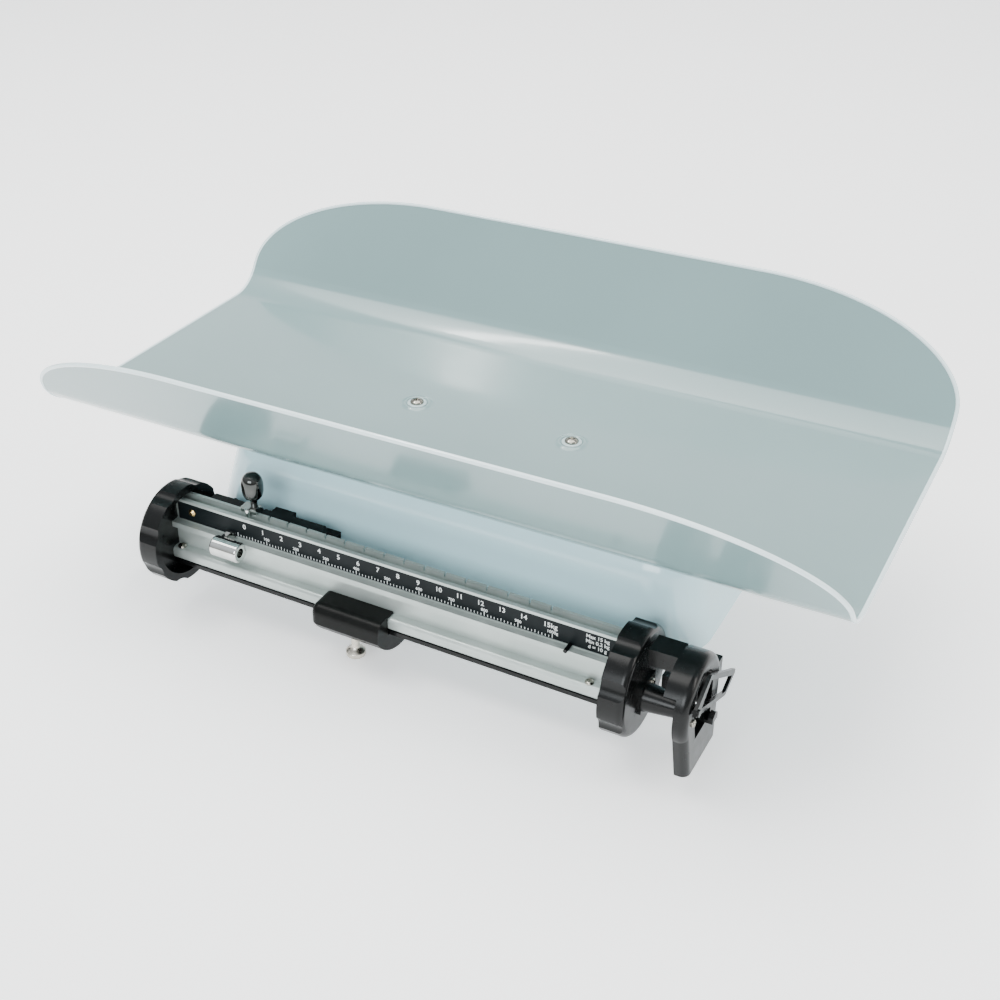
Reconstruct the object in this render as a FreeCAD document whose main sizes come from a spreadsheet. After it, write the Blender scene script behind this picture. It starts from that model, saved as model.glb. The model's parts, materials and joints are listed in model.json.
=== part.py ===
"""Infant beam scale: a trough tray on a lever platform, weighed by a notched beam with sliding poises.

Frame: +X to the right along the beam, +Y to the back, +Z up, millimetres.
The origin is on the table, under the middle of the whole scale.
"""
import FreeCAD, Part
import os
import re
import Sketcher
from FreeCAD import Placement, Rotation, Vector

os.makedirs("parts", exist_ok=True)
doc = FreeCAD.newDocument("beam_scale")
sheet = doc.addObject("Spreadsheet::Sheet", "Sizes")

SIZES = {
    # Tray: a sheet bent to a trough, its wall tops cut to elliptical corners.
    "tray_length": 550,
    "tray_floor": 126,
    "tray_gauge": 2,
    "floor_front": -90.5,
    "floor_back": 88.9,
    "front_bend": 33.7,
    "front_slope": 62.4,
    "front_wall": 52.7,
    "back_bend": 31.9,
    "back_slope": 56.7,
    "back_wall": 71.9,
    "front_corner_long": 130.8,
    "front_corner_short": 57.4,
    "back_corner_long": 145.8,
    "back_corner_short": 67.8,
    "post_reach": 58,
    "post_line": 0.5,
    "post_radius": 8,
    "screw_radius": 3,
    # Housing: a drafted cover, and the pan under it, which draws in towards the feet.
    "rim_level": 48,
    "rim_half_length": 181,
    "rim_half_width": 86.5,
    "cover_height": 66,
    "cover_draft": 12,
    "cover_wall": 2.5,
    "cover_corner": 32,
    "cover_crown": 27,
    "cover_screw_x": 169,
    "cover_screw_y": 55,
    "cover_screw_radius": 2,
    "pan_floor": 14,
    "pan_half_length": 140,
    "pan_half_width": 54,
    "pan_draft": 28,
    "pan_wall": 2.5,
    "foot_radius": 13,
    "foot_reach_x": 118,
    "foot_reach_y": 38,
    "foot_stud_radius": 3,
    # Levers: every knife edge of the platform lies at one level.
    "knife_level": 54,
    "knife_gap": 0.06,
    "lever_depth": 12,
    "fulcrum_line": 45,
    "load_arm": 20,
    "main_arm_x": 97,
    "cross_arm_x": 81,
    "nose_x": -140,
    "nose_rod_radius": 2,
    "link_line": -101,
    "carrier_level": 72,
    # Beam fulcrum: the whole beam rests turned by rest_tilt about its knife edge, right end low.
    "fulcrum_x": -114,
    "beam_knife_level": 68,
    "rest_tilt": 0.65,
    "bracket_left": -158,
    "bracket_right": -70,
    "bracket_front": -109.4,
    "bracket_top": 80,
    "bracket_back": -98.5,
    "bracket_arm_top": 66,
    "pivot_block_back": -107.6,
    # Beam: a hollow extrusion with a poise on each of its three tracks, drawn level.
    "beam_back": -111,
    "fin_front": -113,
    "fin_top": 84.5,
    "groove_floor": 79,
    "crest_back": -118.6,
    "crest_front": -121.4,
    "crest_top": 84,
    "label_face": -120.2,
    "label_top": 82,
    "label_bottom": 68.2,
    "rail_top": 67.8,
    "rail_bottom": 63.8,
    "rail_front": -126.5,
    "panel_face": -122,
    "ridge_top": 48.5,
    "ridge_front": -129,
    "beam_bottom": 39.6,
    "strip_bottom": 36.6,
    "beam_wall": 2,
    "notch_zero": -119.1,
    "notch_pitch": 14.55,
    "notch_count": 16,
    "notch_width": 1.3,
    "rivet_x": -162,
    "rivet_level": 75,
    "peg_x": 116,
    "cap_radius": 34.5,
    "cap_line": -121,
    "cap_level": 59,
    "cap_width": 16,
    "cap_cup_radius": 29,
    "cap_cup_depth": 9,
    "flute_radius": 13,
    "left_cap_x": -182,
    "right_cap_x": 148.5,
    "arm_line": -123,
    "arm_level": 50.3,
    "arm_tip": 209,
    # Poises.
    "main_poise_half": 6,
    "handle_line": -108.5,
    "handle_level": 103.5,
    "small_poise_left": -137,
    "small_poise_right": -115.5,
    "small_poise_line": -131,
    "small_poise_level": 64,
    "small_poise_radius": 6.9,
    "pointer_x": -124.8,
    "tare_left": -56.5,
    "tare_right": -6,
    "tare_line": -112,
    "tare_level": 54,
    "tare_radius": 34.5,
    "tare_front": -141.8,
    "tare_back": -96,
    "tare_front_round": 7,
    "tare_top": 50.2,
    "tare_back_top": 43,
    "thumb_x": -33.5,
    "thumb_line": -126,
    "thumb_level": 8.2,
    "thumb_radius": 2.75,
    # Swing stop: an arched plate round the beam's tip, and the lever that locks it.
    "plate_left": 193.7,
    "plate_right": 202,
    "plate_bottom": 15.5,
    "plate_spring": 60,
    "plate_middle": -126.3,
    "plate_radius": 28.7,
    "window_bottom": 40,
    "window_spring": 66,
    "window_middle": -128,
    "window_radius": 15,
    "hood_left": 186,
    "hood_level": 75.5,
    "gusset_left": 168,
    "gusset_front": -104,
    "gusset_back": -70,
    "gusset_level": 38,
    "lock_low": 203.2,
    "lock_high": 205.4,
    "lock_pivot_y": -146.5,
    "lock_pivot_z": 68,
    "lock_pin_radius": 1.3,
}
for row, (alias, size) in enumerate(SIZES.items(), start=1):
    sheet.set(f"A{row}", alias.replace("_", " "))
    sheet.set(f"B{row}", str(size))
    sheet.setAlias(f"B{row}", alias)
doc.recompute()

ALONG_X = Rotation(Vector(0, 1, 0), 90)
ALONG_Y = Rotation(Vector(1, 0, 0), -90)
ALONG_Z = Rotation()
DOWNWARD = Rotation(Vector(1, 0, 0), 180)
FORWARD = Rotation(Vector(1, 0, 0), 90)
HANDS = (-1, 1)
FLUTES = 8
FLUTE_DEPTH = 1.7
WORDS = re.compile(r"\b(" + "|".join(SIZES) + r")\b")
CUT_DEPTH = 40
MARGIN = 12
nodes = []


def bound(expression):
    """Write an expression in sheet aliases the way the document reads it."""
    return WORDS.sub(r"Sizes.\1", str(expression))


def value(expression):
    """Work an expression out to a number."""
    return float(sheet.evalExpression(bound(expression)))


def place(thing, base, turn=ALONG_Z):
    """Put an object at a base point given as three expressions."""
    thing.Placement = Placement(Vector(), turn)
    for axis, expression in zip("xyz", base):
        thing.setExpression(f"Placement.Base.{axis}", bound(expression))
    return thing


def box(low, high):
    """A block between two corners, each three expressions."""
    block = doc.addObject("Part::Box", "Block")
    for size, start, end in zip(("Length", "Width", "Height"), low, high):
        block.setExpression(size, bound(f"({end}) - ({start})"))
    return place(block, low)


def rod(base, radius, length, turn=ALONG_Z):
    """A cylinder from its base point along its turned axis."""
    bar = doc.addObject("Part::Cylinder", "Rod")
    bar.setExpression("Radius", bound(radius))
    bar.setExpression("Height", bound(length))
    return place(bar, base, turn)


def cone(base, radius_low, radius_high, length, turn=ALONG_Z):
    """A cone frustum from its base point along its turned axis."""
    taper = doc.addObject("Part::Cone", "Taper")
    taper.setExpression("Radius1", bound(radius_low))
    taper.setExpression("Radius2", bound(radius_high))
    taper.setExpression("Height", bound(length))
    return place(taper, base, turn)


def fuse(*things):
    """Join solids into one."""
    union = doc.addObject("Part::MultiFuse", "Union")
    union.Shapes = list(things)
    union.Refine = True
    return union


def cut(base, *tools):
    """Take one or more tools out of a base."""
    difference = doc.addObject("Part::Cut", "Difference")
    difference.Base = base
    difference.Tool = tools[0] if len(tools) == 1 else fuse(*tools)
    return difference


def common(first, second):
    """Keep what two solids share."""
    shared = doc.addObject("Part::Common", "Shared")
    shared.Base = first
    shared.Tool = second
    return shared


def group(*things):
    """Keep several solids of one node apart."""
    compound = doc.addObject("Part::Compound", "Group")
    compound.Links = list(things)
    return compound


def rounded(solid, radius, chosen):
    """Round the edges of a solid that the function chosen picks."""
    doc.recompute()
    edges = [(i, radius, radius) for i, edge in enumerate(solid.Shape.Edges, start=1) if chosen(edge)]
    fillet = doc.addObject("Part::Fillet", "Rounded")
    fillet.Base = solid
    fillet.Edges = edges
    return fillet


def node(name, thing):
    """Name a finished sub-part; its label is its file's name."""
    thing.Label = name
    nodes.append(thing)
    return thing


def beam_node(name, thing):
    """A sub-part drawn on the level beam, then turned with it about the beam's knife edge."""
    turned = group(thing)
    shift_x = "fulcrum_x * (1 - cos(rest_tilt)) - beam_knife_level * sin(rest_tilt)"
    shift_z = "beam_knife_level * (1 - cos(rest_tilt)) + fulcrum_x * sin(rest_tilt)"
    place(turned, (shift_x, 0, shift_z), Rotation(Vector(0, 1, 0), value("rest_tilt")))
    return node(name, turned)


def new_body(name):
    """A body for sketched features."""
    return doc.addObject("PartDesign::Body", name)


def sketch_on(body, role, offset=(0, 0, 0), turn=ALONG_Z):
    """A sketch on one of the body's origin planes, moved off it by three expressions."""
    plane = [p for p in body.Origin.OriginFeatures if p.Role == role][0]
    sketch = body.newObject("Sketcher::SketchObject", body.Name + "_sketch")
    sketch.AttachmentSupport = [(plane, "")]
    sketch.MapMode = "FlatFace"
    sketch.AttachmentOffset = Placement(Vector(), turn)
    for axis, expression in zip("xyz", offset):
        sketch.setExpression(f"AttachmentOffset.Base.{axis}", bound(expression))
    return sketch


def fix(sketch, kind, *where, expression):
    """Add a driven dimension to a sketch and bind it."""
    number = sketch.addConstraint(Sketcher.Constraint(kind, *where, value(expression)))
    sketch.setExpression(f"Constraints[{number}]", bound(expression))


def fix_point(sketch, number, end, spot):
    """Drive one end of a sketch line to a pair of expressions."""
    fix(sketch, "DistanceX", -1, 1, number, end, expression=spot[0])
    fix(sketch, "DistanceY", -1, 1, number, end, expression=spot[1])


def outline(sketch, corners):
    """A closed outline of straight lines through corners given as pairs of expressions."""
    spots = [Vector(value(u), value(v), 0) for u, v in corners]
    first = sketch.GeometryCount
    count = len(corners)
    for i in range(count):
        sketch.addGeometry(Part.LineSegment(spots[i], spots[(i + 1) % count]))
    for i in range(count):
        following = first + (i + 1) % count
        sketch.addConstraint(Sketcher.Constraint("Coincident", first + i, 2, following, 1))
    for i, corner in enumerate(corners):
        fix_point(sketch, first + i, 1, corner)


def circle(sketch, centre, radius):
    """A full circle about a centre given as a pair of expressions."""
    spot = Vector(value(centre[0]), value(centre[1]), 0)
    number = sketch.addGeometry(Part.Circle(spot, Vector(0, 0, 1), value(radius)))
    fix_point(sketch, number, 3, centre)
    fix(sketch, "Radius", number, expression=radius)


def pad(body, sketch, length, reverse=False, symmetric=False, taper=0):
    """Raise a sketch to a solid."""
    raised = body.newObject("PartDesign::Pad", body.Name + "_pad")
    raised.Profile = sketch
    raised.SideType = "Symmetric" if symmetric else "One side"
    raised.Reversed = reverse
    raised.setExpression("Length", bound(length))
    raised.setExpression("TaperAngle", bound(taper))
    return raised


def pocket(body, sketch, length, reverse=False, symmetric=False):
    """Sink a sketch into the solid, and insist that it cuts."""
    before = body.Shape.Volume
    sunk = body.newObject("PartDesign::Pocket", body.Name + "_pocket")
    sunk.Profile = sketch
    sunk.SideType = "Symmetric" if symmetric else "One side"
    sunk.Reversed = reverse
    sunk.setExpression("Length", bound(length))
    doc.recompute()
    if body.Shape.Volume >= before:
        raise RuntimeError(f"{sunk.Name} cut nothing")
    return sunk


def prism(name, corners, role, start, length, turned=False):
    """A body raised from one outline on an origin plane moved to start."""
    body = new_body(name)
    sketch = sketch_on(body, role, (0, 0, start))
    outline(sketch, corners)
    pad(body, sketch, length, reverse=turned)
    return body


def slab_x(name, corners, low, high):
    """An outline in (y, z) raised along X."""
    return prism(name, corners, "YZ_Plane", low, f"({high}) - ({low})")


def slab_y(name, corners, low, high):
    """An outline in (x, z) raised along Y."""
    return prism(name, corners, "XZ_Plane", f"-({low})", f"({high}) - ({low})", turned=True)


def edge_along(axis):
    """Pick straight edges that run along an axis."""
    def chosen(edge):
        if not isinstance(edge.Curve, Part.Line):
            return False
        return abs(edge.Curve.Direction.dot(axis)) > 0.999
    return chosen


# ---------------------------------------------------------------- tray

def wall_point(side, radius, floor, run):
    """A point of a tray wall as expressions: run is its distance up the wall from the bend."""
    away = "-1" if side == "front" else "1"
    y = f"floor_{side} + {away} * (({radius}) * sin({side}_slope) + ({run}) * cos({side}_slope))"
    z = f"({floor}) + ({radius}) * (1 - cos({side}_slope)) + ({run}) * sin({side}_slope)"
    return y, z


def trough_side(sketch, sunk):
    """One face of the trough, sunk below the other: wall, bend, floor, bend, wall."""
    floor = f"tray_floor - {sunk}"
    first = sketch.GeometryCount
    corners = [
        wall_point("front", f"front_bend + {sunk}", floor, "front_wall"),
        wall_point("front", f"front_bend + {sunk}", floor, "0"),
        ("floor_front", floor),
        ("floor_back", floor),
        wall_point("back", f"back_bend + {sunk}", floor, "0"),
        wall_point("back", f"back_bend + {sunk}", floor, "back_wall"),
    ]
    spots = [Vector(value(u), value(v), 0) for u, v in corners]
    for side, near, far in (("front", 1, 2), ("back", 3, 4)):
        centre = Vector(value(f"floor_{side}"), value(f"{floor} + {side}_bend + {sunk}"), 0)
        middle = (spots[near] + spots[far]) * 0.5 - centre
        middle = centre + middle.normalize() * value(f"{side}_bend + {sunk}")
        number = sketch.addGeometry(Part.Arc(spots[near], middle, spots[far]))
        fix(sketch, "Radius", number, expression=f"{side}_bend + {sunk}")
    for near, far in ((0, 1), (2, 3), (4, 5)):
        sketch.addGeometry(Part.LineSegment(spots[near], spots[far]))
    front_arc, back_arc, front_line, floor_line, back_line = range(first, first + 5)
    fix_point(sketch, front_line, 1, corners[0])
    fix_point(sketch, floor_line, 1, corners[2])
    fix_point(sketch, floor_line, 2, corners[3])
    fix_point(sketch, back_line, 2, corners[5])
    joints = ((front_line, 2, front_arc, 1), (front_arc, 2, floor_line, 1),
              (floor_line, 2, back_arc, 1), (back_arc, 2, back_line, 1))
    for near, near_end, far, far_end in joints:
        sketch.addConstraint(Sketcher.Constraint("Tangent", near, near_end, far, far_end))
    return front_line, back_line


def corner_cutter(side, hand):
    """The sheet outside one elliptical corner, cut square to its wall; hand is -1 left, 1 right."""
    long, short = f"{side}_corner_long", f"{side}_corner_short"
    centre_x = f"{hand} * (tray_length / 2 - {long})"
    run = f"{side}_wall - {short}"
    centre_y, centre_z = wall_point(side, f"{side}_bend", "tray_floor", run)
    lean = value(f"{side}_slope") if side == "back" else 180 - value(f"{side}_slope")
    turn = Rotation(Vector(1, 0, 0), lean)
    ellipse = doc.addObject("Part::Ellipse", "Corner")
    ellipse.setExpression("MajorRadius", bound(long))
    ellipse.setExpression("MinorRadius", bound(short))
    place(ellipse, (centre_x, centre_y, centre_z), turn)
    core = doc.addObject("Part::Extrusion", "Corner_core")
    core.Base = ellipse
    core.DirMode = "Normal"
    core.Solid = True
    core.LengthFwd = 2 * CUT_DEPTH
    core.Symmetric = True
    block = doc.addObject("Part::Box", "Corner_block")
    block.setExpression("Length", bound(f"{long} + {MARGIN}"))
    block.setExpression("Width", bound(f"{short} + {MARGIN}"))
    block.Height = 2 * CUT_DEPTH
    shift = -value(f"{long} + {MARGIN}") if hand < 0 else 0
    block.Placement = Placement(Vector(), turn)
    inner = turn.multVec(Vector(shift, 0, -CUT_DEPTH))
    for axis, expression, extra in zip("xyz", (centre_x, centre_y, centre_z), inner):
        block.setExpression(f"Placement.Base.{axis}", bound(f"{expression} + {extra:.6f}"))
    return cut(block, core)


tray_body = new_body("Trough")
tray_sketch = sketch_on(tray_body, "YZ_Plane")
inner_front, inner_back = trough_side(tray_sketch, "0")
outer_front, outer_back = trough_side(tray_sketch, "tray_gauge")
for inner_line, outer_line, end in ((inner_front, outer_front, 1), (inner_back, outer_back, 2)):
    tops = [getattr(tray_sketch.Geometry[i], ("StartPoint", "EndPoint")[end - 1]) for i in (inner_line, outer_line)]
    lip = tray_sketch.addGeometry(Part.LineSegment(*tops))
    tray_sketch.addConstraint(Sketcher.Constraint("Coincident", lip, 1, inner_line, end))
    tray_sketch.addConstraint(Sketcher.Constraint("Coincident", lip, 2, outer_line, end))
pad(tray_body, tray_sketch, "tray_length", symmetric=True)
cutters = [corner_cutter(side, hand) for side in ("front", "back") for hand in HANDS]
post_holes = [rod((f"{hand} * post_reach", "post_line", "tray_floor - 10"), "screw_radius + 0.3", 20)
              for hand in HANDS]
node("tray", cut(tray_body, *cutters, *post_holes))


# ---------------------------------------------------------------- tray fastening

def turned_screw(base, head_radius, head_height, shank_radius, shank_length, turn=ALONG_Z):
    """A low domed screw: its base point is under the head, and its shank runs backwards."""
    back = turn.multVec(Vector(0, 0, -1))
    crown = turn.multVec(Vector(0, 0, 1))
    tail = tuple(f"{p} + ({back[i] * value(shank_length):.4f})" for i, p in enumerate(base))
    rim = value(head_height) / 2
    above = tuple(f"{p} + ({crown[i] * rim:.4f})" for i, p in enumerate(base))
    disc = rod(base, head_radius, f"({head_height}) / 2", turn)
    dome = cone(above, head_radius, f"({head_radius}) * 0.55", f"({head_height}) / 2", turn)
    shank = rod(tail, shank_radius, shank_length, turn)
    return fuse(disc, dome, shank)


node("tray_screws", group(*[
    turned_screw((f"{hand} * post_reach", "post_line", "tray_floor"), 6.5, 3, "screw_radius", 16)
    for hand in HANDS]))
node("tray_washers", group(*[
    cut(rod((f"{hand} * post_reach", "post_line", "tray_floor - tray_gauge - 2"), 11, 2),
        rod((f"{hand} * post_reach", "post_line", "tray_floor - tray_gauge - 3"), "screw_radius + 0.3", 4))
    for hand in HANDS]))


# ---------------------------------------------------------------- housing

def tub(name, half_length, half_width, start, height, draft, corner, crown, downward=False):
    """A drafted block with rounded corners; its crown is the rounding of the far face."""
    body = new_body(name)
    sketch = sketch_on(body, "XY_Plane", (0, 0, start))
    low, high = f"post_line - ({half_width})", f"post_line + ({half_width})"
    outline(sketch, [(f"-({half_length})", low), (half_length, low),
                     (half_length, high), (f"-({half_length})", high)])
    pad(body, sketch, height, reverse=downward, taper=f"-({draft})")
    far = value(f"({start}) - ({height})") if downward else value(f"({start}) + ({height})")

    def upright(edge):
        ends = [v.Point.z for v in edge.Vertexes]
        return abs(ends[0] - ends[-1]) > 1

    block = rounded(body, value(corner), upright)
    if not value(crown):
        return block

    def at_far_face(edge):
        return all(abs(v.Point.z - far) < 0.01 for v in edge.Vertexes)

    return rounded(block, value(crown), at_far_face)


def cover_solid(name, sunk):
    """The housing's outside, or its inside when sunk by the wall."""
    slope = "cos(cover_draft)"
    return tub(name, f"rim_half_length - {sunk} / {slope}", f"rim_half_width - {sunk} / {slope}", "rim_level",
               f"cover_height - {sunk}", "cover_draft", f"cover_corner - {sunk}", f"cover_crown - {sunk}")


cover_outside = cover_solid("Cover_outside", "0")
cover_inside = cover_solid("Cover_inside", "cover_wall")
shell = cut(cover_outside, cover_inside)
bosses = [common(cover_solid("Cover_boss", "0"),
                 box((f"{hx} * (cover_screw_x + 2) - 10", f"post_line + {hy} * cover_screw_y - 8", "rim_level + 2"),
                     (f"{hx} * (cover_screw_x + 2) + 10", f"post_line + {hy} * cover_screw_y + 8", "rim_level + 18")))
          for hx in HANDS for hy in HANDS]
boss_bores = [rod((f"{hx} * cover_screw_x", f"post_line + {hy} * cover_screw_y", "rim_level"),
                  "cover_screw_radius", 15) for hx in HANDS for hy in HANDS]
post_ports = [rod((f"{hand} * post_reach", "post_line", "rim_level + 30"), 12, 60) for hand in HANDS]
link_port = box(("nose_x - 8", -100, "knife_level - 9"), ("nose_x + 8", -60, "knife_level + 9"))
node("housing", cut(fuse(shell, *bosses), *boss_bores, *post_ports, link_port))

pan_inset = "pan_wall / cos(pan_draft)"
pan_outside = tub("Pan_outside", "pan_half_length", "pan_half_width", "pan_floor",
                  "rim_level + 2 - pan_floor", "-pan_draft", 12, "0")
pan_inside = tub("Pan_inside", f"pan_half_length - {pan_inset} + pan_wall * tan(pan_draft)",
                 f"pan_half_width - {pan_inset} + pan_wall * tan(pan_draft)", "pan_floor + pan_wall",
                 "rim_level + 2 - pan_floor", "-pan_draft", 10, "0")
flange = tub("Pan_flange", "rim_half_length - 4.5", "rim_half_width - 4.5", "rim_level",
             "2", "0", "cover_corner - 4", "0")
flange_hole = tub("Pan_flange_hole", "pan_half_length + 15", "pan_half_width + 15", "rim_level - 1",
                  "4", "0", 12, "0")
pan_bores = [rod((f"{hx} * cover_screw_x", f"post_line + {hy} * cover_screw_y", "rim_level - 5"),
                 "cover_screw_radius + 0.2", 12) for hx in HANDS for hy in HANDS]
foot_bores = [rod((f"{hx} * foot_reach_x", f"post_line + {hy} * foot_reach_y", "pan_floor - 1"),
                  "foot_stud_radius + 0.2", 6) for hx in HANDS for hy in HANDS]
node("base_pan", cut(fuse(cut(pan_outside, pan_inside), cut(flange, flange_hole)), *pan_bores, *foot_bores))
node("cover_screws", group(*[
    turned_screw((f"{hx} * cover_screw_x", f"post_line + {hy} * cover_screw_y", "rim_level"),
                 3.5, 2.4, "cover_screw_radius", 14, DOWNWARD)
    for hx in HANDS for hy in HANDS]))
node("rubber_feet", group(*[
    cone((f"{hx} * foot_reach_x", f"post_line + {hy} * foot_reach_y", "0"),
         "foot_radius - 2", "foot_radius", "pan_floor")
    for hx in HANDS for hy in HANDS]))
node("foot_bolts", group(*[
    fuse(rod((f"{hx} * foot_reach_x", f"post_line + {hy} * foot_reach_y", "pan_floor"),
             "foot_stud_radius", "pan_wall"),
         rod((f"{hx} * foot_reach_x", f"post_line + {hy} * foot_reach_y", "pan_floor + pan_wall"),
             "foot_stud_radius + 2", 3))
    for hx in HANDS for hy in HANDS]))


# ---------------------------------------------------------------- lever platform

def knife(centre_y, low, high, side):
    """A knife in (y, z) along X: side 1 has its edge down at the knife level, -1 has it up."""
    back = f"knife_level + {side} * 6"
    corners = [(centre_y, "knife_level"), (f"{centre_y} + 3.5", back), (f"{centre_y} - 3.5", back)]
    return slab_x("Knife", corners if side > 0 else corners[::-1], low, high)


def seat(centre_y, side, low, high, far):
    """A bearing in (y, z) along X with a V groove that a knife edge rests in."""
    lip = f"knife_level + {side} * (2 - knife_gap)"
    corners = [(f"{centre_y} - 6", lip), (f"{centre_y} - 3.6", lip),
               (centre_y, f"knife_level - {side} * knife_gap"),
               (f"{centre_y} + 3.6", lip), (f"{centre_y} + 6", lip),
               (f"{centre_y} + 6", far), (f"{centre_y} - 6", far)]
    return slab_x("Seat", corners, low, high)


def knife_spans(arm_x, outward):
    """The stretches of X that the knives of a lever's two arms stand out to."""
    spans = []
    for hand in HANDS:
        root = f"{hand} * (({arm_x}) + {outward} * 4)"
        tip = f"{hand} * (({arm_x}) + {outward} * 16)"
        spans.append((root, tip) if hand * outward > 0 else (tip, root))
    return spans


def seat_spans(arm_x, outward):
    """The stretches of X of the bearings under those knives."""
    spans = []
    for hand in HANDS:
        near = f"{hand} * (({arm_x}) + {outward} * 5)"
        far = f"{hand} * (({arm_x}) + {outward} * 15)"
        spans.append((near, far) if hand * outward > 0 else (far, near))
    return spans


lever_low, lever_high = "knife_level - lever_depth / 2", "knife_level + lever_depth / 2"
nose_arm = "nose_x + 4"
main_lever = fuse(
    box(("main_arm_x - 4", -6, lever_low), ("main_arm_x + 4", "fulcrum_line + 7", lever_high)),
    box(("-main_arm_x - 4", -6, lever_low), ("-main_arm_x + 4", "fulcrum_line + 7", lever_high)),
    box(("nose_x - 4", -6, lever_low), ("main_arm_x + 4", 6, f"{lever_high} - 0.1")),
    box(("nose_x - 4", -78, "knife_level - 3"), (nose_arm, 6, lever_high)),
    rod(("nose_x", "link_line - 6", "knife_level"), "nose_rod_radius", 30, ALONG_Y))
node("main_lever", main_lever)
cross_lever = fuse(
    box(("cross_arm_x - 4", "-fulcrum_line - 7", lever_low), ("cross_arm_x + 4", -9, lever_high)),
    box(("-cross_arm_x - 4", "-fulcrum_line - 7", lever_low), ("-cross_arm_x + 4", -9, lever_high)),
    box(("-cross_arm_x - 4", -15, lever_low), ("cross_arm_x + 4", -9, lever_high)),
    box((-6, -15, lever_low), (6, -9, "knife_level + 13")),
    box((-6, -15, "knife_level + 9"), (6, 4, "knife_level + 13")))
node("cross_lever", cross_lever)
node("cross_lever_nose_knife", slab_x("Nose_knife", [(0, "knife_level + 6"), (3, "knife_level + 9"),
                                                     (-3, "knife_level + 9")], -6, 6))
main_y, cross_y = "fulcrum_line", "-fulcrum_line"
main_load, cross_load = "fulcrum_line - load_arm", "-fulcrum_line + load_arm"
node("main_lever_knives", group(*[
    knife(y, low, high, side) for low, high in knife_spans("main_arm_x", 1)
    for y, side in ((main_y, 1), (main_load, -1))]))
node("cross_lever_knives", group(*[
    knife(y, low, high, side) for low, high in knife_spans("cross_arm_x", -1)
    for y, side in ((cross_y, 1), (cross_load, -1))]))
pan_top = "pan_floor + pan_wall"
node("main_lever_stands", group(*[seat(main_y, 1, low, high, pan_top)
                                  for low, high in seat_spans("main_arm_x", 1)]))
node("cross_lever_stands", group(*[seat(cross_y, 1, low, high, pan_top)
                                   for low, high in seat_spans("cross_arm_x", -1)]))
node("load_bearings", group(*[
    seat(y, -1, low, high, "carrier_level")
    for y, arm, outward in ((main_load, "main_arm_x", 1), (cross_load, "cross_arm_x", -1))
    for low, high in seat_spans(arm, outward)]))
carrier_top = "carrier_level + 6"
carrier = fuse(
    box(("-main_arm_x - 16", "fulcrum_line - load_arm - 6", "carrier_level"),
        ("main_arm_x + 16", "fulcrum_line - load_arm + 6", carrier_top)),
    box(("-cross_arm_x", "-fulcrum_line + load_arm - 6", "carrier_level"),
        ("cross_arm_x", "-fulcrum_line + load_arm + 6", carrier_top)),
    *[box((f"{hand} * post_reach - 9", "-fulcrum_line + load_arm - 6", "carrier_level"),
          (f"{hand} * post_reach + 9", "fulcrum_line - load_arm + 6", carrier_top)) for hand in HANDS])
node("tray_carrier", carrier)
node("tray_posts", group(*[
    cut(rod((f"{hand} * post_reach", "post_line", carrier_top), "post_radius",
            f"tray_floor - tray_gauge - 2 - ({carrier_top})"),
        rod((f"{hand} * post_reach", "post_line", "tray_floor - 16"), "screw_radius", 20))
    for hand in HANDS]))


# ---------------------------------------------------------------- beam fulcrum

fulcrum_z = "beam_knife_level"
bracket_cheek = [("bracket_front + 6", 50), (-60, 50), (-60, "bracket_arm_top"), ("bracket_back", "bracket_arm_top"),
                 ("bracket_back", "bracket_top - 1"), ("bracket_front + 6", "bracket_top - 1")]
bracket_raw = fuse(
    box(("bracket_left", "bracket_front", "bracket_top - 3"), ("bracket_right", "bracket_back", "bracket_top")),
    slab_x("Left_cheek", bracket_cheek, "bracket_left", "bracket_left + 3"),
    slab_x("Right_cheek", bracket_cheek, "bracket_right - 3", "bracket_right"),
    box(("fulcrum_x - 8", -105, 50), ("fulcrum_x + 8", -60, f"{fulcrum_z} + 2")),
    box(("bracket_left + 3", -87, 50), ("nose_x - 9", -60, "bracket_arm_top")),
    box(("nose_x + 9", -87, 50), ("bracket_right - 3", -60, "bracket_arm_top")))
bracket_notch = slab_y("Groove", [("fulcrum_x", f"{fulcrum_z} - knife_gap"), ("fulcrum_x + 3.7", f"{fulcrum_z} + 2.1"),
                                  ("fulcrum_x - 3.7", f"{fulcrum_z} + 2.1")], -106, -90.5)
knife_room = box(("fulcrum_x - 8.1", -106, f"{fulcrum_z} + 2"), ("fulcrum_x + 8.1", -90, "bracket_top - 3"))
bracket_dip = box(("fulcrum_x - 6", "bracket_front - 1", "bracket_top - 1.5"),
                  ("fulcrum_x + 14", "bracket_front + 12", "bracket_top + 1"))
bracket = cut(bracket_raw, cover_solid("Bracket_wall", "0"), bracket_notch, knife_room, bracket_dip)


def bracket_corner(edge):
    """Pick the upright edges at the bracket's two front corners."""
    if not edge_along(Vector(0, 0, 1))(edge):
        return False
    spot = edge.Vertexes[0].Point
    outer = min(abs(spot.x - value("bracket_left")), abs(spot.x - value("bracket_right")))
    return outer < 0.01 and abs(spot.y - value("bracket_front")) < 0.01


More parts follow.
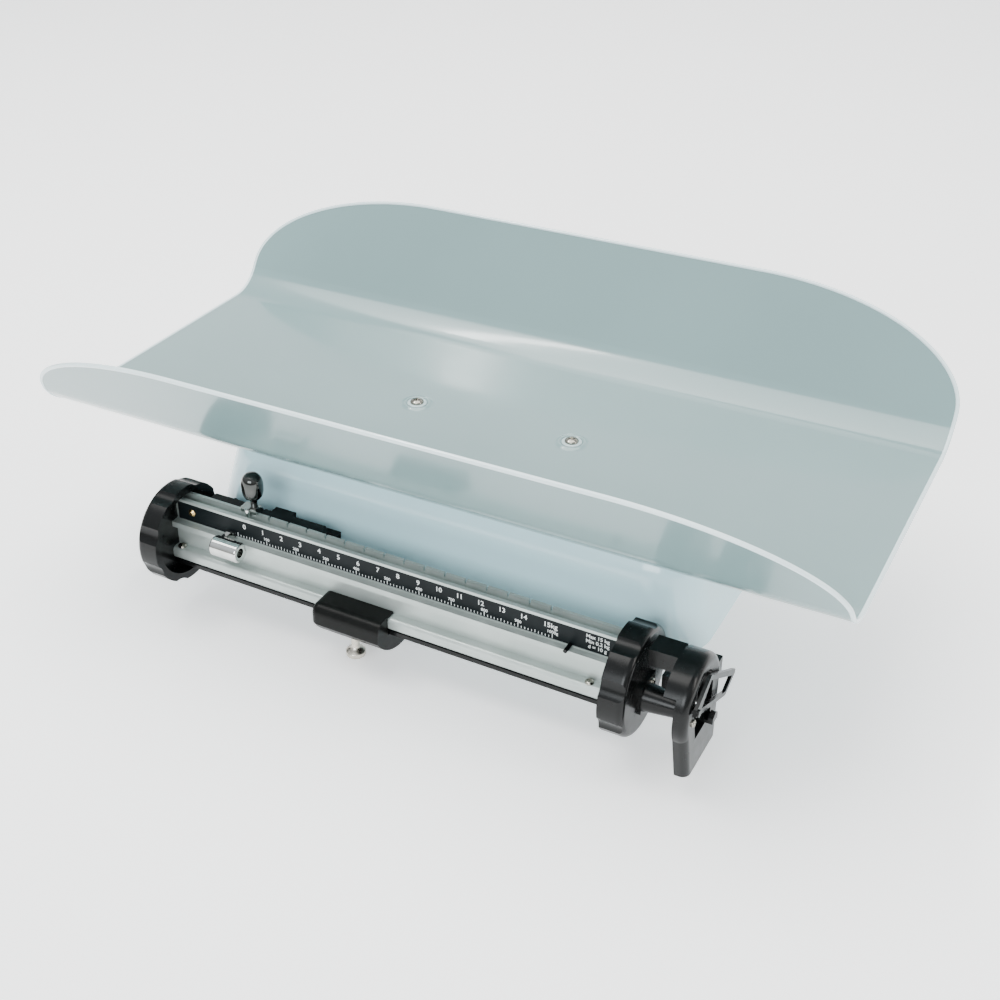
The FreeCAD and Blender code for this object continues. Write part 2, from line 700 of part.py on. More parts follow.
node("fulcrum_bracket", rounded(bracket, 5, bracket_corner))
fulcrum_corners = [("fulcrum_x", fulcrum_z), ("fulcrum_x + 3", f"{fulcrum_z} + 5"),
                   ("fulcrum_x - 3", f"{fulcrum_z} + 5")]
beam_node("fulcrum_knife", slab_y("Beam_knife", fulcrum_corners, "pivot_block_back", -92))
load_corners = [("nose_x", fulcrum_z), ("nose_x - 2.5", f"{fulcrum_z} - 5"), ("nose_x + 2.5", f"{fulcrum_z} - 5")]
beam_node("load_knife", slab_y("Load_knife", load_corners, "pivot_block_back", -94))
beam_node("pivot_block", box(("nose_x - 6", "beam_back", "beam_knife_level - 6"),
                             ("fulcrum_x + 8", "pivot_block_back", "beam_knife_level + 5")))
link_plate = box(("nose_x - 7", "link_line - 3", "knife_level - 7"), ("nose_x + 7", "link_line + 3", 75))
load_edge = f"{fulcrum_z} + (fulcrum_x - nose_x) * sin(rest_tilt)"
link_window = slab_y("Link_window", [
    ("nose_x - 4", f"{fulcrum_z} - 6.5"), ("nose_x + 4", f"{fulcrum_z} - 6.5"), ("nose_x + 4", f"{load_edge} - 2"),
    ("nose_x", f"{load_edge} + knife_gap"), ("nose_x - 4", f"{load_edge} - 2")], "link_line - 4", "link_line + 4")
link_eye = rod(("nose_x", "link_line - 4", "knife_level"), "nose_rod_radius + 0.3", 8, ALONG_Y)
node("draft_link", cut(link_plate, link_window, link_eye))


# ---------------------------------------------------------------- beam

beam_left_end = "(left_cap_x + cap_width - cap_cup_depth)"
beam_right_end = "(right_cap_x + cap_cup_depth)"
beam_length = f"{beam_right_end} - {beam_left_end}"
beam = new_body("Extrusion")
profile = sketch_on(beam, "YZ_Plane", (0, 0, beam_left_end))
outline(profile, [
    ("beam_back", "beam_bottom"), ("beam_back", "fin_top"), ("fin_front", "fin_top"),
    ("fin_front", "groove_floor"), ("crest_back", "groove_floor"), ("crest_back", "crest_top"),
    ("crest_front", "crest_top"), ("crest_front", "label_top"), ("label_face", "label_top"),
    ("label_face", "label_bottom"), ("crest_front", "label_bottom"), ("crest_front", "rail_top"),
    ("rail_front", "rail_top"), ("rail_front", "rail_bottom"), ("panel_face", "rail_bottom"),
    ("panel_face", "ridge_top"), ("ridge_front", "ridge_top"), ("ridge_front", "beam_bottom")])
pad(beam, profile, beam_length)
doc.recompute()
hollow = sketch_on(beam, "YZ_Plane", (0, 0, beam_left_end))
outline(hollow, [
    ("beam_back - beam_wall", "beam_bottom + beam_wall"), ("beam_back - beam_wall", "groove_floor - beam_wall"),
    ("label_face + beam_wall", "groove_floor - beam_wall"), ("label_face + beam_wall", "ridge_top - beam_wall"),
    ("ridge_front + beam_wall", "ridge_top - beam_wall"), ("ridge_front + beam_wall", "beam_bottom + beam_wall")])
pocket(beam, hollow, beam_length, reverse=True)
slot = sketch_on(beam, "XZ_Plane", (0, 0, "-(beam_back + fin_front) / 2"))
outline(slot, [("notch_zero - notch_width / 2", "fin_top - 3"), ("notch_zero + notch_width / 2", "fin_top - 3"),
               ("notch_zero + notch_width / 2", "fin_top + 1"), ("notch_zero - notch_width / 2", "fin_top + 1")])
first_notch = pocket(beam, slot, 4, symmetric=True)
notches = beam.newObject("PartDesign::LinearPattern", "Notches")
notches.Originals = [first_notch]
notches.Direction = (slot, ["H_Axis"])
notches.setExpression("Length", bound("notch_pitch * (notch_count - 1)"))
notches.setExpression("Occurrences", bound("notch_count"))
beam.Tip = notches


def ridge_edge(edge):
    """Pick the two long edges along the front of the low ridge."""
    if not edge_along(Vector(1, 0, 0))(edge):
        return False
    return abs(edge.Vertexes[0].Point.y - value("ridge_front")) < 0.01


beam_node("beam_extrusion", rounded(beam, 3, ridge_edge))
beam_node("beam_bottom_strip", box((beam_left_end, "ridge_front + 0.5", "strip_bottom"),
                              (beam_right_end, "beam_back - 0.5", "beam_bottom")))
beam_node("scale_label", cut(box((f"{beam_left_end} + 2", "label_face - 0.6", "label_bottom + 0.1"),
                            (f"{beam_right_end} - 2", "label_face", "label_top - 0.1")),
                        rod(("rivet_x", "label_face - 1", "rivet_level"), 1.5, 2, ALONG_Y)))
beam_node("label_rivet", fuse(rod(("rivet_x", "label_face - 0.6", "rivet_level"), 1.5, 2.6, ALONG_Y),
                         cone(("rivet_x", "label_face - 1.8", "rivet_level"), 1.4, 2.7, 1.2, ALONG_Y)))
beam_node("beam_screws", group(*[
    turned_screw((x, "ridge_front + 4", "ridge_top"), 2.9, 2, 1.5, 2)
    for x in ("left_cap_x + 12", "right_cap_x - 17.5")]))
beam_node("stop_peg", rod(("peg_x", "rail_front - 2.5", "rail_top + 1.1"), 1.3,
                          "crest_front - rail_front + 2.5", ALONG_Y))


def end_cap(left, outer_side):
    """A fluted disc with a cup for the extrusion; outer_side is -1 when its closed face looks left."""
    disc = rod((left, "cap_line", "cap_level"), "cap_radius", "cap_width", ALONG_X)
    closed = value(left) if outer_side < 0 else value(f"{left} + cap_width")

    def closed_rim(edge):
        return all(abs(v.Point.x - closed) < 0.01 for v in edge.Vertexes) and isinstance(edge.Curve, Part.Circle)

    disc = rounded(disc, 4, closed_rim)
    cup_x = f"{left} + cap_width - cap_cup_depth" if outer_side < 0 else f"{left} - 1"
    cup = rod((cup_x, "cap_line", "cap_level"), "cap_cup_radius", "cap_cup_depth + 1", ALONG_X)
    flutes = []
    for lobe in range(FLUTES):
        angle = 360 / FLUTES * (lobe + 0.5)
        reach = f"(cap_radius + flute_radius - {FLUTE_DEPTH})"
        flutes.append(rod((f"{left} - 1", f"cap_line + {reach} * sin({angle})",
                           f"cap_level + {reach} * cos({angle})"), "flute_radius", "cap_width + 2", ALONG_X))
    return cut(disc, cup, *flutes)


beam_node("left_cap", end_cap("left_cap_x", -1))
beam_node("right_cap", end_cap("right_cap_x", 1))
tip_root = "right_cap_x + cap_width"
tip_bottom = "arm_level - 0.2"
neck = [("arm_line - 5", tip_bottom), ("arm_line + 3", tip_bottom),
        ("arm_line + 3", f"{tip_bottom} + 4"), ("arm_line - 1", f"{tip_bottom} + 7"),
        ("arm_line - 5", f"{tip_bottom} + 4")]
beam_node("beam_tip_arm", fuse(
    box((tip_root, "arm_line - 8", "arm_level - 8"), (f"{tip_root} + 2", "arm_line + 12", "arm_level + 11")),
    cone((f"{tip_root} + 2", "arm_line", "arm_level"), 9, 6, f"hood_left + 6 - ({tip_root})", ALONG_X),
    slab_x("Tip", neck, "hood_left + 6", "plate_right + 0.5"),
    box(("plate_right + 0.4", "arm_line - 5", tip_bottom), ("lock_high + 0.6", "arm_line + 3", f"{tip_bottom} + 2.2")),
    slab_x("Tip_head", neck, "lock_high + 0.5", "arm_tip")))
beam_node("cap_screw", turned_screw((f"{tip_root} + 2", "arm_line + 7", "arm_level + 6"), 2.6, 2, 1.3, 2, ALONG_X))

# ---------------------------------------------------------------- poises

main_low, main_high = "notch_zero - main_poise_half", "notch_zero + main_poise_half"
saddle_top = "fin_top + 4"
saddle = fuse(
    box((main_low, "beam_back + 0.5", "bracket_top + 1.6"), (main_high, "beam_back + 3", saddle_top)),
    box((main_low, "fin_front - 2", "fin_top + 0.4"), (main_high, "beam_back + 3", saddle_top)),
    cone(("notch_zero", "fin_front - 2.6", "groove_floor + 2.5"), 0.8, 2.1, 5),
    rod(("notch_zero", "fin_front - 2.6", "groove_floor + 7.4"), 2.1, f"{saddle_top} - groove_floor - 7.4"))
beam_node("main_poise_saddle", saddle)
handle = fuse(
    rod(("notch_zero", "handle_line", saddle_top), 2.4, 8),
    cone(("notch_zero", "handle_line", "handle_level - 8"), 3, 6.5, 7),
    rod(("notch_zero", "handle_line", "handle_level - 1"), 6.5, 4),
    cone(("notch_zero", "handle_line", "handle_level + 3"), 6.5, 4.2, 4.2))
beam_node("main_poise_handle", handle)

barrel = rod(("small_poise_left", "small_poise_line", "small_poise_level"),
             "small_poise_radius", "small_poise_right - small_poise_left", ALONG_X)


def barrel_end(edge):
    """Pick the round edges at the two ends of the small poise."""
    return isinstance(edge.Curve, Part.Circle)


pointer_foot = "rail_top + 0.6"
beam_node("small_poise", cut(
    rounded(barrel, 1.5, barrel_end),
    box(("small_poise_left - 1", "rail_front - 0.5", "rail_bottom - 0.5"),
        ("small_poise_right + 1", "panel_face + 5", f"{pointer_foot} + 1")),
    rod(("small_poise_right - 8", "small_poise_line - 1.2", "small_poise_level + 0.8"), 3.3, 9, ALONG_X)))
beam_node("small_poise_pointer", fuse(
    box(("small_poise_left + 3", "rail_front - 0.5", pointer_foot),
        ("pointer_x - 6", "crest_front - 0.5", f"{pointer_foot} + 1")),
    slab_y("Pointer", [
        ("small_poise_left + 3", pointer_foot), ("pointer_x - 6", pointer_foot),
        ("pointer_x", "label_bottom + 1"), ("pointer_x - 1.5", "label_bottom + 3.6"),
        ("small_poise_left + 4.5", "label_bottom + 3.6")], "crest_front - 2.5", "crest_front - 0.5")))

tare_round = rod(("tare_left", "tare_line", "tare_level"), "tare_radius", "tare_right - tare_left", ALONG_X)
tare_block = common(tare_round, box(("tare_left - 1", "tare_front", 0), ("tare_right + 1", "tare_back", "tare_top")))


def tare_front_top(edge):
    """Pick the tare poise's long top edge at the front."""
    return all(abs(v.Point.y - value("tare_front")) < 0.01 and abs(v.Point.z - value("tare_top")) < 0.01
               for v in edge.Vertexes)


def tare_left_rim(edge):
    """Pick the edges round the tare poise's left end."""
    return all(abs(v.Point.x - value("tare_left")) < 0.01 for v in edge.Vertexes)


beam_node("tare_poise", cut(
    rounded(rounded(tare_block, value("tare_front_round"), tare_front_top), 4.5, tare_left_rim),
    box(("tare_left - 1", "ridge_front - 0.4", "strip_bottom - 0.4"),
        ("tare_right + 1", "beam_back + 0.4", "ridge_top + 0.3")),
    box(("tare_left - 1", "panel_face - 0.4", "ridge_top"), ("tare_right + 1", "beam_back + 0.4", "tare_top + 1")),
    box(("tare_left - 1", "beam_back", "tare_back_top"), ("tare_right + 1", "tare_back + 1", "tare_top + 1")),
    rod(("thumb_x", "thumb_line", 0), "thumb_radius + 0.05", 40)))
thumb_head = fuse(cone(("thumb_x", "thumb_line", "thumb_level"), 5.6, 6.5, 1.2),
                  rod(("thumb_x", "thumb_line", "thumb_level + 1.2"), 6.5, 2.6),
                  cone(("thumb_x", "thumb_line", "thumb_level + 3.8"), 6.5, 3.4, 2.6))
beam_node("thumb_screw", fuse(thumb_head, rod(("thumb_x", "thumb_line", "thumb_level + 5"), "thumb_radius",
                                              "strip_bottom - 0.15 - thumb_level - 5")))

# ---------------------------------------------------------------- swing stop


def arched(name, foot, middle, spring, radius, low, high):
    """A slab in (y, z) along X: a straight-sided foot under a round head."""
    return fuse(slab_x(name, foot, low, high), rod((low, middle, spring), radius, f"{high} - ({low})", ALONG_X))


plate_foot = [("plate_middle - plate_radius + 10.5", "plate_bottom"), ("plate_middle + plate_radius", "plate_bottom"),
              ("plate_middle + plate_radius", "plate_spring"), ("plate_middle - plate_radius", "plate_spring")]
window_foot = [("window_middle - window_radius + 6", "window_bottom"), ("window_middle + window_radius", "window_bottom"),
               ("window_middle + window_radius", "window_spring"), ("window_middle - window_radius", "window_spring")]


def plate_edge(edge):
    """Pick the outer face's edges that do not lie level: its sides, or its round rim."""
    at_face = all(abs(v.Point.x - value("plate_right")) < 0.01 for v in edge.Vertexes)
    return at_face and edge.BoundBox.ZLength > 1


plate_solid = fuse(
    rounded(slab_x("Plate", plate_foot, "plate_left", "plate_right"), 5, plate_edge),
    rounded(rod(("plate_left", "plate_middle", "plate_spring"), "plate_radius",
                "plate_right - plate_left", ALONG_X), 5, plate_edge))
hood = common(rod(("hood_left", "plate_middle", "plate_spring"), "plate_radius", "plate_left - hood_left", ALONG_X),
              box(("hood_left", "plate_middle - plate_radius", "hood_level"),
                  ("plate_left", "plate_middle + plate_radius", "plate_spring + plate_radius")))
gusset = cut(box(("gusset_left", "gusset_front", "gusset_level"), ("plate_left", "gusset_back", "rim_level + 2")),
             cover_solid("Gusset_wall", "0"))
node("swing_stop_frame", fuse(
    cut(fuse(plate_solid, hood),
        arched("Window", window_foot, "window_middle", "window_spring", "window_radius",
               "hood_left - 1", "plate_right + 1"),
        rod(("plate_right - 6", "lock_pivot_y", "lock_pivot_z"), "lock_pin_radius", 7, ALONG_X)),
    box(("gusset_left", -129, "hood_level"), ("hood_left", -114, 87)),
    gusset))
node("stop_frame_screws", group(*[
    turned_screw((x, "gusset_front + 12", "gusset_level"), 2.8, 1.8, 1.5, 6, DOWNWARD)
    for x in ("gusset_left + 5", "gusset_left + 16")]))
node("plate_screw", turned_screw(("plate_right", "lock_pivot_y + 3", "lock_pivot_z - 11"), 2.4, 1.8, 1.2, 4, ALONG_X))
node("bracket_screws", group(*[
    turned_screw((x, -87, 58), 2.8, 1.8, 1.5, 6, FORWARD)
    for x in ("bracket_left + 8", "bracket_right - 8")]))
node("lock_pin", fuse(rod(("plate_right - 6", "lock_pivot_y", "lock_pivot_z"), "lock_pin_radius",
                          "lock_high + 0.3 - plate_right + 6", ALONG_X),
                      rod(("lock_high + 0.2", "lock_pivot_y", "lock_pivot_z"), "lock_pin_radius + 1", 1, ALONG_X)))


def lock_point(along, up):
    """A corner of the lock lever, counted from its pivot."""
    return f"lock_pivot_y + {along}", f"lock_pivot_z + {up}"


lock_outer = slab_x("Lock_outer", [lock_point(-3, -1.2), lock_point(-1.4, 2.8), lock_point(19.5, 12.8),
                                   lock_point(65.5, -15.6), lock_point(64.5, -18.2), lock_point(49.5, -24)],
                    "lock_low", "lock_high")
lock_inner = slab_x("Lock_inner", [lock_point(6, -1.2), lock_point(19.7, 9), lock_point(59.5, -16.4),
                                   lock_point(49.2, -21)], "lock_low - 1", "lock_high + 1")
node("lock_lever", cut(lock_outer, lock_inner,
                       rod(("lock_low - 1", "lock_pivot_y", "lock_pivot_z"), "lock_pin_radius + 0.05", 5, ALONG_X)))


# ---------------------------------------------------------------- files

doc.recompute()
for thing in doc.Objects:
    if "Invalid" in thing.State or "Error" in thing.State:
        raise RuntimeError(f"{thing.Name} ({thing.Label}) failed: {thing.State}")
for thing in nodes:
    if thing.Shape.isNull() or not thing.Shape.isValid():
        raise RuntimeError(f"{thing.Label} has no valid shape")
for thing in nodes:
    thing.Shape.exportStep(f"parts/{thing.Label}.step")
    box_of = thing.Shape.BoundBox
    print(f"{thing.Label:24s} solids {len(thing.Shape.Solids):2d} volume {thing.Shape.Volume:10.0f}"
          f" x {box_of.XMin:7.1f} {box_of.XMax:7.1f} y {box_of.YMin:7.1f} {box_of.YMax:7.1f}"
          f" z {box_of.ZMin:7.1f} {box_of.ZMax:7.1f}")
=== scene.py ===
"""Looks of an infant beam scale: enamelled tray and housing, satin beam, printed scale, black fittings.

Lengths are metres. MM turns millimetres into metres.
"""
import json
import math

import bmesh
import bpy
from mathutils import Matrix, Vector


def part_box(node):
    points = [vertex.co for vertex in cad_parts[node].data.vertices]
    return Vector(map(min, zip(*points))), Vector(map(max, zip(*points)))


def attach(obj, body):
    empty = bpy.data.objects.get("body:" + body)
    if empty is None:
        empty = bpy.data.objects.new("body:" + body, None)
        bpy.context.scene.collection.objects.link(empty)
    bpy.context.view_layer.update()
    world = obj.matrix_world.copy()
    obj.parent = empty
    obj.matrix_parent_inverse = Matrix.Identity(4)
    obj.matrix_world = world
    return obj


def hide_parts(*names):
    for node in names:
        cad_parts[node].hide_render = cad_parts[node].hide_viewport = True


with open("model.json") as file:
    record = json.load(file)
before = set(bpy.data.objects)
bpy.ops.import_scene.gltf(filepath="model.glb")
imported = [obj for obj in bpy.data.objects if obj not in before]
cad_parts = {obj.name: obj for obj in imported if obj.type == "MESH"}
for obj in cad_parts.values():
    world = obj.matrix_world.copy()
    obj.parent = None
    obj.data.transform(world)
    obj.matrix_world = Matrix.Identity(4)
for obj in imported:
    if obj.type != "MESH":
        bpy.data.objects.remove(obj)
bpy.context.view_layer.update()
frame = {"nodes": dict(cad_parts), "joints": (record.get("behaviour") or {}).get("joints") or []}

MM = 0.001
NODES = frame["nodes"]
JOINTS = {joint["name"]: joint for joint in frame["joints"]}
ALONG = Vector(JOINTS["main_poise_slide"]["axis"])
ACROSS = Vector((0, 1, 0))
RISE = Vector(JOINTS["thumb_screw_turn"]["axis"])
PIVOT = Vector(JOINTS["beam_tilt"]["pos_m"])

# Tray section, millimetres and degrees.
TRAY_HALF = 275
TRAY_FLOOR = 126
TRAY_GAUGE = 2
FLOOR_FRONT, FLOOR_BACK = -90.5, 88.9
FRONT_BEND, FRONT_SLOPE, FRONT_WALL = 33.7, 62.4, 52.7
BACK_BEND, BACK_SLOPE, BACK_WALL = 31.9, 56.7, 71.9
FRONT_CORNER = (130.8, 57.4)
BACK_CORNER = (145.8, 67.8)
BEAD_RADIUS = 1.5
SCREW_REACH, SCREW_LINE = 58, 0.5
WASHER_TOP, TRAY_HEAD = 0.7, (4.6, 2.4)
CORNER_STEPS, END_STEPS = 32, 60

# Level beam, millimetres. A head is a radius and a height.
NOTCH_ZERO, NOTCH_PITCH, NOTCH_COUNT = -119.1, 14.55, 16
GROOVE_FLOOR, GROOVE_LINE = 79, -115.8
GRAM_ZERO, GRAM_PITCH, GRAM_COUNT = -124.8, 2.286, 100
LABEL_FACE = -120.8
LABEL_BOTTOM = 68.2
TICK_HALF, TICK_FOOT = 0.22, 0.5
TICK_SHORT, TICK_MIDDLE, TICK_LONG = 1.6, 2.2, 2.9
KILO_FOOT, KILO_HEIGHT, KILO_UNIT_SHIFT = 75.9, 3.4, 3.2
GRAM_FOOT, GRAM_HEIGHT = 72.0, 2.1
RANGE_MIDDLE, RANGE_HEIGHT = 133, 2.5
RANGE_LINES = {77.6: "Max 15 kg", 73.9: "Min 0.2 kg", 70.2: "d = 10 g"}
BEAM_SCREWS, BEAM_SCREW_LINE, BEAM_SCREW_LEVEL = (-170.0, 131.0), -125.0, 48.5
BEAM_HEAD, CAP_HEAD, PLATE_HEAD = (2.9, 2.0), (2.6, 2.0), (2.4, 1.8)
KNOB_LINE, KNOB_FOOT = -108.5, 88.5
THUMB_MIDDLE, THUMB_LINE, THUMB_FOOT, THUMB_TOP = -33.5, -126, 8.2, 36.45


# ---------------------------------------------------------------- materials

def new_material(name):
    """A material with its node tree and Principled shader."""
    material = bpy.data.materials.new(name)
    material.use_nodes = True
    return material, material.node_tree, material.node_tree.nodes["Principled BSDF"]


def noise(tree, scale, detail=4, stretch=(1, 1, 1)):
    """A noise texture on object coordinates, stretched along chosen axes."""
    coordinates = tree.nodes.new("ShaderNodeTexCoord")
    mapping = tree.nodes.new("ShaderNodeMapping")
    mapping.inputs["Scale"].default_value = stretch
    texture = tree.nodes.new("ShaderNodeTexNoise")
    texture.inputs["Scale"].default_value = scale
    texture.inputs["Detail"].default_value = detail
    tree.links.new(coordinates.outputs["Object"], mapping.inputs["Vector"])
    tree.links.new(mapping.outputs["Vector"], texture.inputs["Vector"])
    return texture.outputs["Fac"]


def ramp(tree, source, low, high, start=0.35, end=0.65):
    """Turn a noise value into a colour between two colours."""
    stops = tree.nodes.new("ShaderNodeValToRGB")
    stops.color_ramp.elements[0].position = start
    stops.color_ramp.elements[0].color = (*low, 1)
    stops.color_ramp.elements[1].position = end
    stops.color_ramp.elements[1].color = (*high, 1)
    tree.links.new(source, stops.inputs["Fac"])
    return stops.outputs["Color"]


def span(tree, source, low, high):
    """Turn a noise value into a number between two numbers."""
    fit = tree.nodes.new("ShaderNodeMapRange")
    fit.inputs["From Min"].default_value = 0.3
    fit.inputs["From Max"].default_value = 0.7
    fit.inputs["To Min"].default_value = low
    fit.inputs["To Max"].default_value = high
    tree.links.new(source, fit.inputs["Value"])
    return fit.outputs["Result"]


def relief(tree, shader, source, strength, depth):
    """Bump a shader by a noise value."""
    bump = tree.nodes.new("ShaderNodeBump")
    bump.inputs["Strength"].default_value = strength
    bump.inputs["Distance"].default_value = depth
    tree.links.new(source, bump.inputs["Height"])
    tree.links.new(bump.outputs["Normal"], shader.inputs["Normal"])


def surface(name, low, high, rough, metal=0.0, coat=0.0, gloss=0.5, mottle=18, grain=400, strength=0.1,
            depth=0.0001, stretch=(1, 1, 1)):
    """A finish with its own mottled colour, uneven gloss and fine grain."""
    material, tree, shader = new_material(name)
    shader.inputs["Metallic"].default_value = metal
    shader.inputs["Specular IOR Level"].default_value = gloss
    shader.inputs["Coat Weight"].default_value = coat
    shader.inputs["Coat Roughness"].default_value = 0.08
    tree.links.new(ramp(tree, noise(tree, mottle), low, high), shader.inputs["Base Color"])
    tree.links.new(span(tree, noise(tree, mottle * 3), *rough), shader.inputs["Roughness"])
    relief(tree, shader, noise(tree, grain, 3, stretch), strength, depth)
    return material


TRAY = surface("tray_enamel", (0.158, 0.248, 0.250), (0.174, 0.268, 0.270), (0.15, 0.22), coat=0.6,
               mottle=5, grain=60, strength=0.05, depth=0.0006)
COVER = surface("housing_enamel", (0.50, 0.74, 0.80), (0.54, 0.78, 0.84), (0.16, 0.24), coat=0.5,
                mottle=6, grain=55, strength=0.06, depth=0.0008)
PAN = surface("pan_enamel", (0.40, 0.52, 0.55), (0.45, 0.57, 0.60), (0.25, 0.35), coat=0.3,
              mottle=9, grain=120)
ALUMINIUM = surface("satin_aluminium", (0.38, 0.43, 0.41), (0.45, 0.50, 0.48), (0.30, 0.42), metal=0.55,
                    mottle=30, grain=700, strength=0.08, depth=0.00003, stretch=(0.02, 1, 1))
GLOSS_BLACK = surface("black_plastic", (0.0016, 0.0020, 0.0020), (0.0030, 0.0034, 0.0034), (0.20, 0.28),
                      gloss=0.22, mottle=60, grain=900, strength=0.03, depth=0.00001)
SATIN_BLACK = surface("black_enamel", (0.0016, 0.0020, 0.0018), (0.0030, 0.0034, 0.0030), (0.28, 0.38),
                      gloss=0.12, mottle=80, grain=700, strength=0.05, depth=0.00001)
CHROME = surface("chrome", (0.55, 0.56, 0.55), (0.64, 0.65, 0.63), (0.05, 0.09), metal=1.0,
                 mottle=90, grain=300, strength=0.03, depth=0.00002)
# Painted highlight: the tray rim bead uses a much lighter copy of the tray enamel, standing for the bright
# highlight along the rolled edge.
RIM_PAINTED_HIGHLIGHT = surface("tray_rim_painted_highlight", (0.62, 0.74, 0.76), (0.66, 0.78, 0.80), (0.12, 0.20), coat=0.6,
              mottle=5, grain=60, strength=0.05, depth=0.0006)
SCREW = surface("screw_plating", (0.22, 0.21, 0.18), (0.32, 0.31, 0.27), (0.08, 0.16), metal=1.0,
                mottle=90, grain=300, strength=0.03, depth=0.00002)
# Painted dark reflection: the knob's chrome has its base colour darkened to stand for the dark surroundings
# that it reflects.
KNOB_PAINTED_DARK_REFLECTION = surface("knob_chrome_painted_dark_reflection", (0.055, 0.058, 0.056), (0.085, 0.088, 0.085), (0.04, 0.08), metal=1.0,
               mottle=90, grain=300, strength=0.03, depth=0.00002)
NICKEL = surface("nickel", (0.50, 0.47, 0.41), (0.62, 0.58, 0.51), (0.22, 0.34), metal=1.0, mottle=150,
                 grain=900, strength=0.12)
BRASS = surface("brass", (0.62, 0.43, 0.17), (0.72, 0.52, 0.24), (0.18, 0.28), metal=1.0,
                mottle=250, grain=900)
STEEL = surface("ground_steel", (0.40, 0.41, 0.42), (0.50, 0.51, 0.52), (0.28, 0.40), metal=1.0, mottle=60,
                grain=800, strength=0.15, stretch=(0.05, 1, 1))
IRON = surface("lever_iron", (0.045, 0.048, 0.052), (0.075, 0.078, 0.082), (0.55, 0.75), metal=0.3, mottle=40,
               grain=220, strength=0.35, depth=0.0004)
RUBBER = surface("rubber", (0.012, 0.012, 0.012), (0.025, 0.024, 0.023), (0.70, 0.88), mottle=70, grain=600,
                 strength=0.25)
LABEL = surface("label_film", (0.0030, 0.0050, 0.0060), (0.0050, 0.0075, 0.0085), (0.32, 0.42), gloss=0.12,
                mottle=35, grain=900, strength=0.05)
PRINT = surface("label_print", (0.60, 0.64, 0.63), (0.72, 0.75, 0.74), (0.40, 0.50), mottle=90, grain=900)
WASHER = surface("white_washer", (0.36, 0.46, 0.47), (0.42, 0.52, 0.53), (0.25, 0.35), mottle=50, grain=300)

FINISHES = {
    "tray": TRAY, "housing": COVER, "base_pan": PAN, "rubber_feet": RUBBER,
    "foot_bolts": STEEL, "cover_screws": STEEL, "tray_washers": STEEL, "load_bearings": STEEL,
    "main_lever_stands": STEEL, "cross_lever_stands": STEEL, "main_lever": IRON, "cross_lever": IRON,
    "tray_carrier": IRON, "tray_posts": IRON, "main_lever_knives": STEEL, "cross_lever_knives": STEEL,
    "cross_lever_nose_knife": STEEL, "fulcrum_knife": STEEL, "load_knife": STEEL, "tray_screws": SCREW,
    "beam_screws": SCREW, "stop_frame_screws": SCREW, "plate_screw": SCREW, "bracket_screws": SCREW,
    "cap_screw": SCREW, "lock_pin": GLOSS_BLACK, "main_poise_saddle": CHROME, "main_poise_handle": KNOB_PAINTED_DARK_REFLECTION,
    "small_poise": CHROME, "small_poise_pointer": CHROME, "beam_extrusion": ALUMINIUM,
    "left_cap": GLOSS_BLACK, "right_cap": GLOSS_BLACK, "stop_peg": GLOSS_BLACK,
    "beam_bottom_strip": GLOSS_BLACK, "fulcrum_bracket": SATIN_BLACK, "swing_stop_frame": GLOSS_BLACK,
    "pivot_block": SATIN_BLACK, "beam_tip_arm": GLOSS_BLACK, "draft_link": SATIN_BLACK,
    "tare_poise": SATIN_BLACK, "scale_label": LABEL,
    "label_rivet": BRASS, "thumb_screw": NICKEL, "lock_lever": GLOSS_BLACK,
}
for name, finish in FINISHES.items():
    NODES[name].data.materials.clear()
    NODES[name].data.materials.append(finish)


# ---------------------------------------------------------------- shaping

def on_beam(x, y, z):
    """A place on the level beam, in millimetres, carried to where the beam rests."""
    return PIVOT + ALONG * (x * MM - PIVOT.x) + ACROSS * (y * MM - PIVOT.y) + RISE * (z * MM - PIVOT.z)


def beam_matrix(x, y, z):
    """Axes along, across and square to the beam, at a place on it."""
    turn = Matrix((ALONG, ACROSS, RISE)).transposed().to_4x4()
    return Matrix.Translation(on_beam(x, y, z)) @ turn


def finish_mesh(name, mesh_data, material, body, replaced=(), sharp=35):
    """Turn edited mesh data into a piece that rides on a body."""
    mesh = bpy.data.meshes.new(name)
    bmesh.ops.recalc_face_normals(mesh_data, faces=mesh_data.faces)
    mesh_data.to_mesh(mesh)
    mesh_data.free()
    mesh.materials.append(material)
    mesh.polygons.foreach_set("use_smooth", [True] * len(mesh.polygons))
    mesh.set_sharp_from_angle(angle=math.radians(sharp))
    piece = bpy.data.objects.new(name, mesh)
    bpy.context.scene.collection.objects.link(piece)
    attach(piece, body)
    if replaced:
        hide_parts(*replaced)
    return piece


def add_lathe(mesh_data, profile, matrix, segments=48, ripple=None):
    """Turn (radius, height) pairs in millimetres about local Z; ripple scales each spoke's radius."""
    rings = []
    for radius, height in profile:
        if radius == 0:
            rings.append([mesh_data.verts.new(matrix @ Vector((0, 0, height * MM)))])
            continue
        ring = []
        for i in range(segments):
            angle = 2 * math.pi * i / segments
            reach = radius * MM * (ripple(i, radius, height) if ripple else 1)
            ring.append(mesh_data.verts.new(matrix @ Vector((reach * math.cos(angle), reach * math.sin(angle),
                                                             height * MM))))
        rings.append(ring)
    for lower, upper in zip(rings, rings[1:]):
        below, above = len(lower), len(upper)
        for i in range(segments):
            j = (i + 1) % segments
            corners = [lower[i % below], lower[j % below], upper[j % above], upper[i % above]]
            corners = list(dict.fromkeys(corners))
            if len(corners) > 2:
                mesh_data.faces.new(corners)


